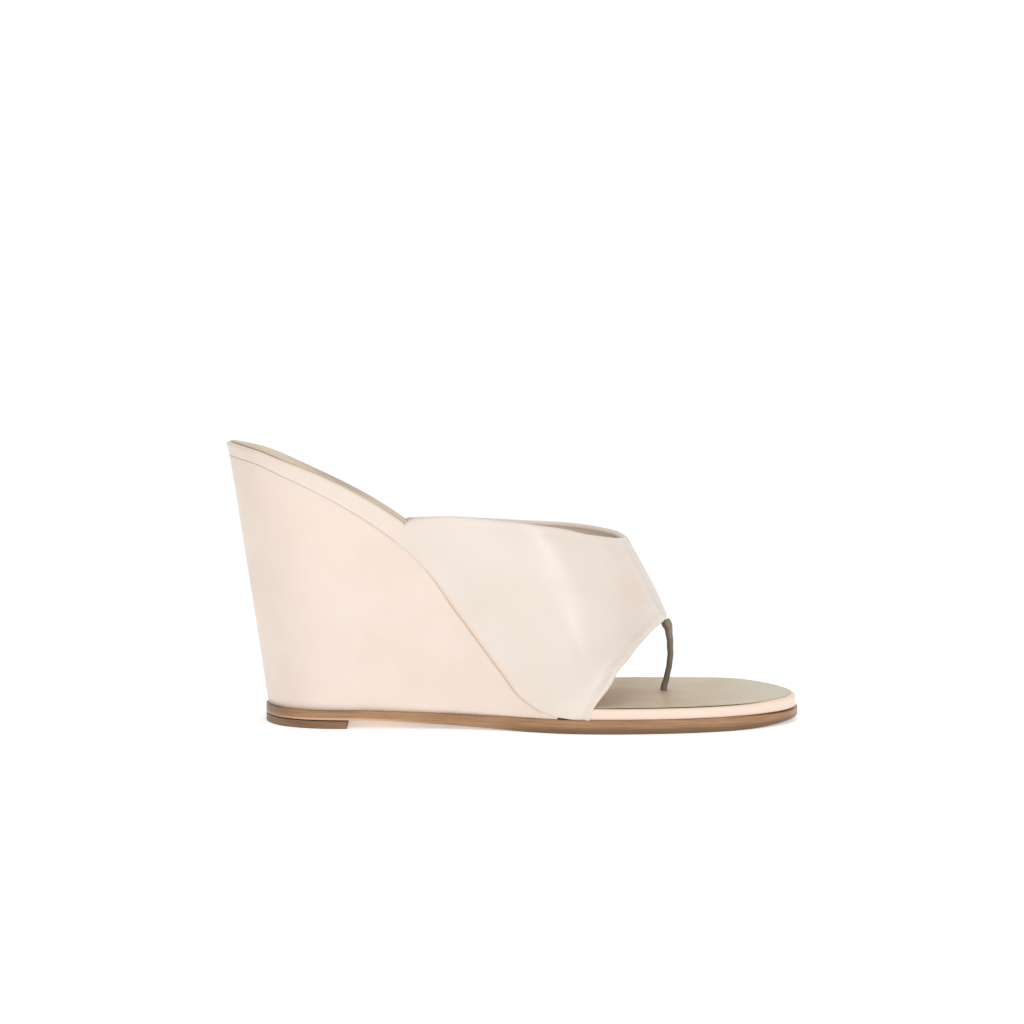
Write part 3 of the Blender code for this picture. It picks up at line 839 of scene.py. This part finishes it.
def strap_shell(spots, facts):
    """The strap's wall: its outer face and its lining, each with half of the rounded rims."""
    normals = grid_normals(spots)
    columns, rows = len(spots), len(spots[0])
    wide = columns + 2 * RIM_STEPS
    tall = rows + 2 * RIM_STEPS
    points = []
    tones = []
    faces = []
    for side in (1.0, -1.0):
        for i in range(wide):
            column, over = rim_step(i, columns)
            for j in range(tall):
                row, past = rim_step(j, rows)
                out = normals[column][row]
                radius = STRAP_WALL / 2 * skive(facts[column][row][0])
                middle = spots[column][row] - out * radius
                ahead, down = edge_ways(spots, column, row, out)
                reach = out * (math.cos(over) * math.cos(past) * side)
                reach += ahead * math.sin(over) + down * (math.cos(over) * math.sin(past))
                points.append(middle + reach * radius)
                tones.append(strap_tone(facts[column][row], side))
    for first in (0, wide * tall):
        for i in range(wide - 1):
            for j in range(tall - 1):
                a = first + i * tall + j
                faces.append((a, a + 1, a + tall + 1, a + tall))
    return points, faces, tones


def strap_tone(facts, side):
    """Colour shift of the strap, painted shade: cooler by the ridge where the panels turn
    away, with a paler streak along the pleat, and more orange by the tip, in the groove behind
    the hem and at the foot where the strap meets the wedge. The lining is a little cooler."""
    u, w, from_front, from_ridge, _, _ = facts
    if side < 0:
        return 0.1
    # Painted shade by the ridge, where the panels turn away, less along the pleat
    ridge_shade = 0.55 * (1 - ramp(from_ridge, 0.0020, 0.0068))
    ridge_shade -= 0.35 * hump(from_ridge, 0.0024, 0.0008)
    # Painted shade, more orange, by the tip, in the groove behind the hem and at the seam
    from_tip = math.hypot((from_front - 0.0165) / 0.0105, (from_ridge - 0.0105) / 0.0075)
    hem_groove_shade = hump(from_front, 0.0046, 0.0007) * ramp(u, 0.1, 0.4)
    foot = 0.30 + 0.45 * ramp(w, 0.05, 0.30) * (1 - ramp(w, 0.62, 0.80))
    foot *= 1 - ramp(u, 0.012, 0.028)
    painted_shade = 0.45 * hump(from_tip, 0.0, 1.0) + 0.25 * hem_groove_shade + foot
    return max(-1.0, min(1.0, ridge_shade - painted_shade * max(1 - 1.4 * ridge_shade, 0.0)))


def soften_ridge(spots):
    """Rounds the fold where the two panels meet."""
    middle = (len(spots) - 1) // 2
    rows = len(spots[0])
    reach = 6
    for step in range(6):
        for row in range(rows):
            fresh = {}
            for column in range(middle - reach, middle + reach + 1):
                share = 0.5 * (1 - abs(column - middle) / (reach + 1))
                mean = (spots[column - 1][row] + spots[column + 1][row]) / 2
                fresh[column] = spots[column][row].lerp(mean, share)
            for column, spot in fresh.items():
                spots[column][row] = spot


def grid_ways(spots, column, row):
    """Steps over a place of the grid, from column to column and from row to row."""
    columns, rows = len(spots), len(spots[0])
    ahead = spots[min(column + 1, columns - 1)][row] - spots[max(column - 1, 0)][row]
    down = spots[column][min(row + 1, rows - 1)] - spots[column][max(row - 1, 0)]
    return ahead, down


def grid_normals(spots):
    """The outward direction at each place of the grid."""
    normals = []
    for column in range(len(spots)):
        line = []
        for row in range(len(spots[0])):
            ahead, down = grid_ways(spots, column, row)
            line.append(down.cross(ahead).normalized())
        normals.append(line)
    return normals


def edge_ways(spots, column, row, out):
    """Directions in the sheet, towards the next column and the next row."""
    ahead, down = grid_ways(spots, column, row)
    return (ahead - out * ahead.dot(out)).normalized(), (down - out * down.dot(out)).normalized()


# Footbed, sock, wedge, outsole and top lift

WEDGE_HEIGHTS = [step / WEDGE_SIDE_STEPS for step in range(WEDGE_SIDE_STEPS)]


def strap_inset(along, end):
    """How far the footbed's edge stands in behind the strap."""
    start = STRAP_START - NOTCH_GAP
    stop = end + NOTCH_FORE_GAP
    ends = ramp(along, start - NOTCH_RUN, start) * (1 - ramp(along, stop, stop + NOTCH_RUN))
    return STRAP_WALL * TUCK_SHARE * ends


def top_place(along):
    """Place of a sheet's top edge: it leans forward where the strap starts and ends."""
    back = NOTCH_LEAN * hump(along, STRAP_START, 0.05)
    fore = NOTCH_FORE_LEAN * hump(along, STRAP_END_LATERAL, 0.04)
    return along + back + fore


def cant_at(along, inner):
    """How far one edge of the footbed's top is tilted up."""
    arch = ramp(along, 0.04, 0.18) * (1 - ramp(along, 0.30, 0.42))
    toe = TOE_CANT_INNER if inner else TOE_CANT_OUTER
    toe += (TOE_CANT_TIP - toe) * ramp(along, 0.88, 1.0)
    return arch * (CANT_INNER if inner else CANT_OUTER) + ramp(along, 0.56, 0.68) * toe


def notched_stations():
    """Places along the footbed, five of them at each step in behind the strap."""
    starts = (
        STRAP_START - NOTCH_GAP - NOTCH_RUN,
        STRAP_END_MEDIAL + NOTCH_FORE_GAP,
        STRAP_END_LATERAL + NOTCH_FORE_GAP,
    )
    notches = [start + NOTCH_RUN * step / 4 for start in starts for step in range(5)]
    clear = 0.0012
    places = list(notches)
    for place in stations(0.0, 1.0, LENGTH_STEPS):
        if min(abs(place - notch) for notch in notches) > clear:
            places.append(place)
    return sorted(places)


def sheet_edge(path, end, along, levels, under, over):
    """One edge of a sheet at a place along the shoe, from its foot to its top."""
    inner = path is MEDIAL_PATH
    step = strap_inset(along, end)
    inward = Vector((0.0, -step if inner else step, 0.0))
    high = top_place(along)
    tip = cant_at(along, inner)
    line = []
    for inset, share, drop in levels:
        spot = outline_point(path, along + (high - along) * share, inset) + inward
        z = under(along) * (1 - share) + (over(high) + tip) * share - drop
        line.append(Vector((spot.x + lean_at(along) * (1 - share), spot.y, z)))
    return line


def sheet_piece(name, levels, under, over, tone, material, slot, *nodes):
    """A sheet that follows the footbed's dished top, with a profile of its edge in levels:
    inset, then height as a share of the way from its under face to its top, then a drop."""
    rings = []
    for along in notched_stations():
        lateral = sheet_edge(LATERAL_PATH, STRAP_END_LATERAL, along, levels, under, over)
        medial = sheet_edge(MEDIAL_PATH, STRAP_END_MEDIAL, along, levels, under, over)
        ring = list(lateral)
        for step in range(1, ACROSS_STEPS):
            share = step / ACROSS_STEPS
            spot = lateral[-1].lerp(medial[-1], share)
            spot.z -= dish_at(top_place(along)) * (1 - (2 * share - 1) ** 2)
            ring.append(spot)
        ring += reversed(medial)
        ring += [medial[0].lerp(lateral[0], step / 4) for step in range(1, 4)]
        rings.append(ring)
    tones = [tone(point) for ring in rings for point in ring]
    return tube_piece(name, rings, tones, material, slot, *nodes)


def rim_levels():
    """Profile of the rim: a small round at its foot, a straight wall and a round top edge."""
    foot = reversed(quarter_round(RIM_FOOT_ROUND, 2))
    levels = [(inset, 0.0, -rise) for inset, rise in foot]
    levels += [(0.0, 0.25, 0.0), (0.0, 0.5, 0.0)]
    levels += [(inset, 1.0, drop) for inset, drop in quarter_round(RIM_ROUND, ROUND_STEPS)]
    return levels


def footbed_piece(material):
    def tone(point):
        """Painted highlight on the rim: peachier towards the toes."""
        # Painted highlight on the rim from the ball to the toes
        return ramp(point.x / SHOE_LENGTH, 0.52, 0.68)

    return sheet_piece(
        "footbed_wrap", rim_levels(), footbed_under, footbed_top, tone, material,
        "cream_leather", "footbed",
    )


def sock_piece(material):
    hole = rise_point(RIDGE_ROWS[-1])

    def tone(point):
        """Painted shadow at the far edge and by the post's root, painted shade in the hollow round
        the post and over the heel seat, painted light towards both ends.
        """
        along = point.x / SHOE_LENGTH
        # Painted shadow under the strap along the far edge
        far = ramp(point.y - edge_at(MEDIAL_PATH, along), -0.0090, -0.0030)
        # Painted shadow by the post's root, and painted shade in the hollow round it
        wear_and_shadow = hump(point.x, hole.x - 0.001, 0.0035) * hump(point.y, hole.y - 0.004, 0.007)
        hollow = hump(point.x, hole.x - 0.0006, 0.0024) * hump(point.y, hole.y, 0.0034)
        # Painted shade over the heel seat, shaped like a heel print
        heel_seat_shade = hump(along, 0.20, 0.075) * hump(point.y, 0.008, 0.022)
        dark = 0.35 * far * (1 - ramp(along, 0.80, 0.92)) + 0.35 * wear_and_shadow
        dark += 0.55 * heel_seat_shade + 0.5 * hollow
        # Painted light towards the heel and towards the toes
        light = 0.35 * (1 - ramp(along, 0.0, 0.24)) + 0.85 * ramp(along, 0.70, 0.99)
        return light - dark

    def under(along):
        return footbed_top(along) + LAYER_GAP

    def over(along):
        return footbed_top(along) + SOCK_PROUD + SOCK_PROUD_MORE * ramp(along, 0.5, 0.6)

    levels = [(SOCK_INSET, 0.0, 0.0)]
    for inset, drop in quarter_round(SOCK_ROUND, SMALL_ROUND_STEPS):
        levels.append((SOCK_INSET + inset, 1.0, drop))
    return sheet_piece("sock_lining", levels, under, over, tone, material, "sock_leather", "sock")


def wedge_foot(along):
    """Where the side of the wedge above a place meets the outsole: x and width share."""
    left = max(1 - along / WEDGE_END, 0.0)
    x = along * SHOE_LENGTH + BACK_LEAN * left
    return x, 1 - (1 - WEDGE_FOOT_SHARE) * ramp(left, 0.0, 0.8)


def outsole_top(x):
    """Height of the outsole's upper face."""
    return outsole_under(x) + OUTSOLE_THICKNESS * eased(OUTSOLE_ROWS, 2, x / SHOE_LENGTH)


def outsole_under(x):
    """Height of the outsole's lower face, which the top lift holds up at the heel."""
    along = x / SHOE_LENGTH
    return TOP_LIFT_THICKNESS * eased(OUTSOLE_ROWS, 1, along) + spring(along)


def wedge_side(path, along, top):
    """One side of the wedge at a place along the shoe, from its foot to its rounded top edge."""
    x_top = along * SHOE_LENGTH + lean_at(along)
    x_foot, width = wedge_foot(along)
    foot = outsole_top(x_foot) + CLEARANCE
    edge = edge_at(path, along)
    falls = [lap(along) + fall for fall in SEAM_FALLS] + [0.0]
    below = [1 - fall / max(top - foot, 0.004) for fall in falls]
    heights = [min(height, below[0] - 0.001) for height in WEDGE_HEIGHTS]
    line = []
    for height in heights + below:
        reach = eased(WEDGE_SIDE_ROWS, 1, height)
        x = x_foot + (x_top - x_foot) * reach
        y = edge * (width + (1 - width) * reach)
        line.append(Vector((x, y, foot + (top - foot) * height)))
    radius = min(CROWN_ROUND + CROWN_ROUND_MORE * deep_seam(along), (top - foot) * 0.3)
    crown = line.pop()
    for inset, drop in quarter_round(radius, SMALL_ROUND_STEPS):
        y = crown.y - math.copysign(inset, edge)
        line.append(Vector((crown.x, y, crown.z - drop)))
    return line


def wedge_shades(along, top):
    """Tones of one side of the wedge: paler upwards, and painted shade in the seam under the
    footbed and the strap's edge.
    """
    # Painted shade along the seam, deepest where the strap tucks in
    seam = 0.10 + 0.25 * ramp(along, 0.16, 0.26) + 0.50 * deep_seam(along)
    shades = [0.25 * ramp(height * top, 0.0, 0.09) for height in WEDGE_HEIGHTS]
    shades += [-0.2 * seam, -0.7 * seam]
    return shades + [-seam] * (SMALL_ROUND_STEPS + 1)


def wedge_piece(material):
    rings = []
    tones = []
    for along in stations(0.0, WEDGE_END, WEDGE_STEPS):
        top = footbed_under(along) - LAYER_GAP
        shades = wedge_shades(along, top)
        tones += shades + list(reversed(shades))
        lateral = wedge_side(LATERAL_PATH, along, top)
        medial = wedge_side(MEDIAL_PATH, along, top)
        rings.append(lateral + list(reversed(medial)))
    return tube_piece("wedge_cover", rings, tones, material, "cream_leather", "wedge")


def sole_profile(low, high, round_foot):
    """Edge of the outsole or the top lift from its foot to its top: inset and height."""
    foot = reversed(quarter_round(round_foot, SOLE_ROUND_STEPS))
    profile = [(inset, low + rise) for inset, rise in foot]
    profile += [(0.0, low * (1 - share) + high * share) for share in (0.32, 0.5, 0.68)]
    turn = quarter_round(SOLE_ROUND, SOLE_ROUND_STEPS)
    return profile + [(inset, high - drop) for inset, drop in turn]


def sole_ring(place, levels_at, round_foot):
    """A ring of points round the outsole or the top lift at a place along the shoe."""
    x, width = wedge_foot(place)
    lateral = edge_at(LATERAL_PATH, place) * width
    medial = edge_at(MEDIAL_PATH, place) * width
    stretch = 1 + 2 * OUTSOLE_MARGIN / (SHOE_LENGTH - BACK_LEAN)
    wide = BACK_LEAN + (x - BACK_LEAN) * stretch - OUTSOLE_MARGIN
    middle = (lateral + medial) / 2
    half = (medial - lateral) / 2
    grow = half + OUTSOLE_MARGIN * min(half / (SEAT_WIDTH * 0.3), 1.0)
    profile = sole_profile(*levels_at(x), round_foot)
    ring = [Vector((wide, middle - max(grow - inset, 0.0), z)) for inset, z in profile]
    ring += [Vector((wide, middle + max(grow - inset, 0.0), z)) for inset, z in reversed(profile)]
    return ring


def outsole_piece(material):
    def levels_at(x):
        return outsole_under(x), outsole_top(x) + OUTSOLE_RAISE

    def tone(point):
        """Painted light in a line along the foot at the heel, painted shade at the back, and
        painted shadow low down from the arch on.
        """
        along = point.x / SHOE_LENGTH
        low = outsole_under(point.x)
        share = (point.z - low) / (outsole_top(point.x) - low)
        # Painted light: the foot of the edge at the heel, under the wedge's shade, is paler
        line = (1 - ramp(share, 0.16, 0.42)) * (1 - ramp(along, 0.20, 0.42))
        # Painted shadow low on the edge from the arch on, where it meets the floor
        painted_shadow = 0.8 * (1 - ramp(share, 0.20, 0.75)) * ramp(along, 0.40, 0.56)
        # Painted shade on the back, which faces away from the lights
        back = 0.75 * (1 - ramp(along, 0.06, 0.16))
        return line * (1 - back) - painted_shadow - back * ramp(share, 0.1, 0.5)

    places = stations(0.0, 1.0, LENGTH_STEPS)
    rings = [sole_ring(place, levels_at, OUTSOLE_FOOT_ROUND) for place in places]
    tones = [tone(point) for ring in rings for point in ring]
    return tube_piece("outsole_leather", rings, tones, material, "sole_leather", "outsole")


def top_lift_piece(material):
    def levels_at(x):
        return 0.0, TOP_LIFT_THICKNESS - CLEARANCE

    reach = TOP_LIFT_LENGTH / (WEDGE_REACH - BACK_LEAN) * WEDGE_END
    places = stations(0.0, reach, LIFT_STEPS)
    rings = [sole_ring(place, levels_at, LIFT_FOOT_ROUND) for place in places]
    tones = [0.0 for ring in rings for point in ring]
    return tube_piece("heel_top_lift", rings, tones, material, "top_lift_rubber", "top_lift")


# Toe post

def post_piece(material):
    tip = rise_point(RIDGE_ROWS[-1])
    down = (tip - rise_point(RIDGE_ROWS[-2])).normalized()
    inward = Vector((-abs(down.z), 0.0, -abs(down.x))).normalized()
    top = tip + inward * STRAP_WALL * 0.5 + down * (CLEARANCE * 1.5)
    floor = footbed_top(top.x / SHOE_LENGTH)
    tall = top.z - floor
    rows = [(-height, forward, width) for forward, height, width in POST_ROWS]
    path = []
    widths = []
    for step in range(POST_STEPS + 1):
        at = -1.0 + (1.0 + POST_FOOT) * step / POST_STEPS
        x = top.x + eased(rows, 1, at) * POST_THICKNESS
        path.append(Vector((x, top.y, floor - at * tall)))
        widths.append(eased(rows, 2, at))
    side = Vector((0.0, 1.0, 0.0))
    rings = []
    for index, (point, width) in enumerate(zip(path, widths)):
        heading = path[min(index + 1, POST_STEPS)] - path[max(index - 1, 0)]
        fore = side.cross(heading).normalized()
        ring = []
        for k in range(POST_SIDES):
            angle = 2 * math.pi * k / POST_SIDES
            twist = math.sin(angle + index * POST_TWIST_STEP)
            radius = POST_THICKNESS / 2 * width * (1 + POST_TWIST * twist)
            ring.append(point + fore * math.cos(angle) * radius + side * math.sin(angle) * radius)
        rings.append(ring)
    tones = [0.0 for ring in rings for point in ring]
    return tube_piece("toe_thong", rings, tones, material, "thong_leather", "toe_post")


# Cream: shade is the peach of the rim's painted highlight, deep the seam's painted shade
CREAM = leather(
    "cream_leather", light=srgb(238, 222, 209), dark=srgb(234, 217, 204), shade=srgb(247, 223, 205),
    deep=srgb(206, 178, 154), rough=0.42, coat=0.10, grain=1500.0, pores=0.16,
)
# Strap: shade is the painted shade by the ridge, deep the more orange painted shade
STRAP = leather(
    "strap_leather", light=srgb(235, 223, 213), dark=srgb(231, 218, 207), shade=srgb(212, 204, 196),
    deep=srgb(233, 209, 188), rough=0.33, coat=0.20, grain=1300.0, pores=0.11,
)
# Sock: shade is the painted light at the ends, deep the painted shade and shadow
TAUPE = leather(
    "sock_leather", light=srgb(212, 190, 158), dark=srgb(200, 177, 144), shade=srgb(209, 199, 177),
    deep=srgb(138, 118, 94), rough=0.48, coat=0.05, grain=1300.0, pores=0.30,
)
# Sole edge: bright is painted light, the darkest colour painted shadow
TAN = sole_edge(
    "sole_leather", body=srgb(174, 133, 95), deep=srgb(148, 109, 75), bright=srgb(212, 174, 138),
    painted_shadow=srgb(108, 76, 38), rough=0.45,
)
BROWN = sole_edge(
    "top_lift_rubber", body=srgb(142, 106, 75), deep=srgb(120, 88, 61), bright=srgb(142, 106, 75),
    painted_shadow=srgb(98, 70, 48), rough=0.55,
)
DARK = leather(
    "thong_leather", light=srgb(142, 130, 115), dark=srgb(112, 100, 87), shade=srgb(160, 148, 134),
    deep=srgb(78, 68, 58), rough=0.35, coat=0.35, grain=1800.0, pores=0.30,
)

strap_piece(STRAP)
footbed_piece(CREAM)
sock_piece(TAUPE)
wedge_piece(CREAM)
outsole_piece(TAN)
top_lift_piece(BROWN)
post_piece(DARK)


# Floor, backdrop, lights and camera

FLOOR_NEAR = -3.0
FLOOR_HALF_WIDTH = 4.0
SWEEP_START = 1.2
SWEEP_RADIUS = 0.8
SWEEP_STEPS = 16
BACKDROP_HEIGHT = 4.0
WORLD_LIGHT = 0.44

HEART = (0.0, 0.0, 0.05)
LIGHT_ROWS = [
    # name, place, aim, width, height, watts
    ("top_panel", (0.05, -0.25, 1.1), HEART, 1.2, 1.0, 2.6),
    ("front_panel", (-0.25, -1.3, 0.55), HEART, 1.3, 0.9, 3.8),
    ("strip_panel", (0.62, -0.66, 0.40), (0.02, 0.0, 0.04), 0.10, 0.58, 1.6),
]

# The camera's place, the angles it is turned by in degrees and its lens in millimetres

CAMERA_PLACE = Vector((-0.02771, -0.77926, 0.11466))
CAMERA_YAW = 1.955
CAMERA_PITCH = -2.871
CAMERA_ROLL = 0.29
CAMERA_LENS = 75.449
CAMERA_SENSOR = 36.0


def plain_white(name, albedo, glow):
    """Matt white that glows a little."""
    material, _, shader = fresh_material(name)
    shader.inputs["Base Color"].default_value = (albedo, albedo, albedo, 1.0)
    shader.inputs["Roughness"].default_value = 0.9
    shader.inputs["Specular IOR Level"].default_value = 0.1
    shader.inputs["Emission Color"].default_value = (1.0, 1.0, 1.0, 1.0)
    shader.inputs["Emission Strength"].default_value = glow
    return material


def stage():
    """A pale floor that sweeps up into a backdrop behind the shoe."""
    profile = [(FLOOR_NEAR, 0.0), (SWEEP_START, 0.0)]
    for step in range(1, SWEEP_STEPS + 1):
        angle = math.pi / 2 * step / SWEEP_STEPS
        y = SWEEP_START + SWEEP_RADIUS * math.sin(angle)
        profile.append((y, SWEEP_RADIUS * (1 - math.cos(angle))))
    profile.append((SWEEP_START + SWEEP_RADIUS, BACKDROP_HEIGHT))
    points = [(x, y, z) for y, z in profile for x in (-FLOOR_HALF_WIDTH, FLOOR_HALF_WIDTH)]
    faces = [(k, k + 1, k + 3, k + 2) for k in range(0, 2 * len(profile) - 2, 2)]
    mesh = bpy.data.meshes.new("floor")
    mesh.from_pydata(points, [], faces)
    for polygon in mesh.polygons:
        polygon.use_smooth = True
    mesh.materials.append(plain_white("floor_white", albedo=0.90, glow=0.42))
    made = bpy.data.objects.new("floor", mesh)
    bpy.context.scene.collection.objects.link(made)


def panel_light(name, place, aim, width, height, watts):
    """A rectangular soft light that faces a place."""
    light = bpy.data.lights.new(name, "AREA")
    light.shape = "RECTANGLE"
    light.size = width
    light.size_y = height
    light.energy = watts
    made = bpy.data.objects.new(name, light)
    bpy.context.scene.collection.objects.link(made)
    made.location = place
    way = Vector(aim) - Vector(place)
    made.rotation_euler = way.to_track_quat("-Z", "Y").to_euler()


stage()
world = bpy.data.worlds.new("studio")
bpy.context.scene.world = world
world.use_nodes = True
background = world.node_tree.nodes["Background"]
background.inputs["Color"].default_value = (1.0, 1.0, 1.0, 1.0)
background.inputs["Strength"].default_value = WORLD_LIGHT

for row in LIGHT_ROWS:
    panel_light(*row)

lens = bpy.data.cameras.new("camera")
lens.sensor_width = CAMERA_SENSOR
lens.lens = CAMERA_LENS
lens.clip_start = 0.05
lens.clip_end = 20.0
camera = bpy.data.objects.new("camera", lens)
bpy.context.scene.collection.objects.link(camera)
turn = Matrix.Rotation(math.radians(-CAMERA_YAW), 4, "Z")
tilt = Matrix.Rotation(math.radians(90 + CAMERA_PITCH), 4, "X")
roll = Matrix.Rotation(math.radians(CAMERA_ROLL), 4, "Z")
camera.matrix_world = Matrix.Translation(CAMERA_PLACE) @ turn @ tilt @ roll
bpy.context.scene.camera = camera
bpy.context.scene.view_settings.view_transform = "Standard"
